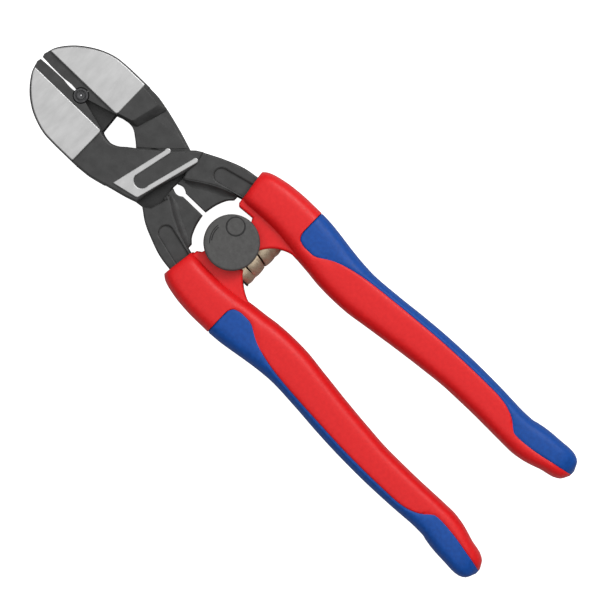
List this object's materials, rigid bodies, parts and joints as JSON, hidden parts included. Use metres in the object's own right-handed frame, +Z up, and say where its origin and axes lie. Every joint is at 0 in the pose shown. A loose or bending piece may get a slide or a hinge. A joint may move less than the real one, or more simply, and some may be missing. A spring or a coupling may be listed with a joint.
{
  "type": "bolt cutters",
  "caption": "Compact lever-action bolt cutters with rounded jaws, two-colour grips, an opening spring and a round thumb dial that locks the handles closed.",
  "frame": {"origin": "centre of the footprint, on the surface that the tool lies on", "axes": "+X along the tool from the jaws to the grip ends, +Y towards the fixed handle, +Z up through the thickness, dial side up"},
  "size_m": [0.2, 0.051, 0.0197],
  "materials": {
    "forged_steel": "blackened forged steel, with ground bright faces on the jaws",
    "bright_steel": "ground steel",
    "red_plastic": "red hard plastic, satin",
    "blue_plastic": "blue soft plastic, matte",
    "dial_plastic": "dark grey plastic, fine texture",
    "spring_steel": "beige plated spring strip",
    "dark_steel": "blackened steel"
  },
  "bodies": {
    "fixed_handle": {"fixed_jaw_lever": "forged_steel", "jaw_pivot_pin": "dark_steel", "jaw_pivot_rear_head": "dark_steel", "handle_pivot_bolt": "dark_steel", "front_spacer_washer": "bright_steel", "rear_spacer_washer": "bright_steel", "upper_grip_core": "red_plastic", "upper_grip_pad": "blue_plastic", "upper_spring_peg": "dark_steel", "opening_spring": "spring_steel", "dial_rear_washer": "bright_steel", "dial_wave_washer": "bright_steel", "detent_ball": "bright_steel", "detent_spring": "bright_steel"},
    "moving_handle": {"moving_handle_lever": "forged_steel", "lower_grip_core": "red_plastic", "lower_grip_pad": "blue_plastic", "lower_spring_peg": "dark_steel", "lock_catch_pin": "bright_steel"},
    "moving_jaw": {"moving_jaw": "forged_steel", "drive_pin": "bright_steel"},
    "lock_dial": {"lock_dial": "dial_plastic", "dial_hook": "dark_steel", "dial_axle_screw": "dark_steel"}
  },
  "joints": [
    {"name": "handle_hinge", "type": "hinge", "parent": "fixed_handle", "child": "moving_handle", "pos_m": [-0.0565, -0.009, 0.0095], "axis": [0, 0, 1], "range_deg": [-33, 2.4], "deforming": ["opening_spring"]},
    {"name": "jaw_hinge", "type": "hinge", "parent": "fixed_handle", "child": "moving_jaw", "pos_m": [-0.0835, 0, 0.0095], "axis": [0, 0, 1], "range_deg": [-21.5, 1.6]},
    {"name": "dial_turn", "type": "hinge", "parent": "fixed_handle", "child": "lock_dial", "pos_m": [-0.0207, -0.0004, 0.0095], "axis": [0, 0, 1], "range_deg": [0, 60]}
  ],
  "couplings": [
    {"joint": "jaw_hinge", "follows": "handle_hinge", "ratio": 0.65}
  ]
}
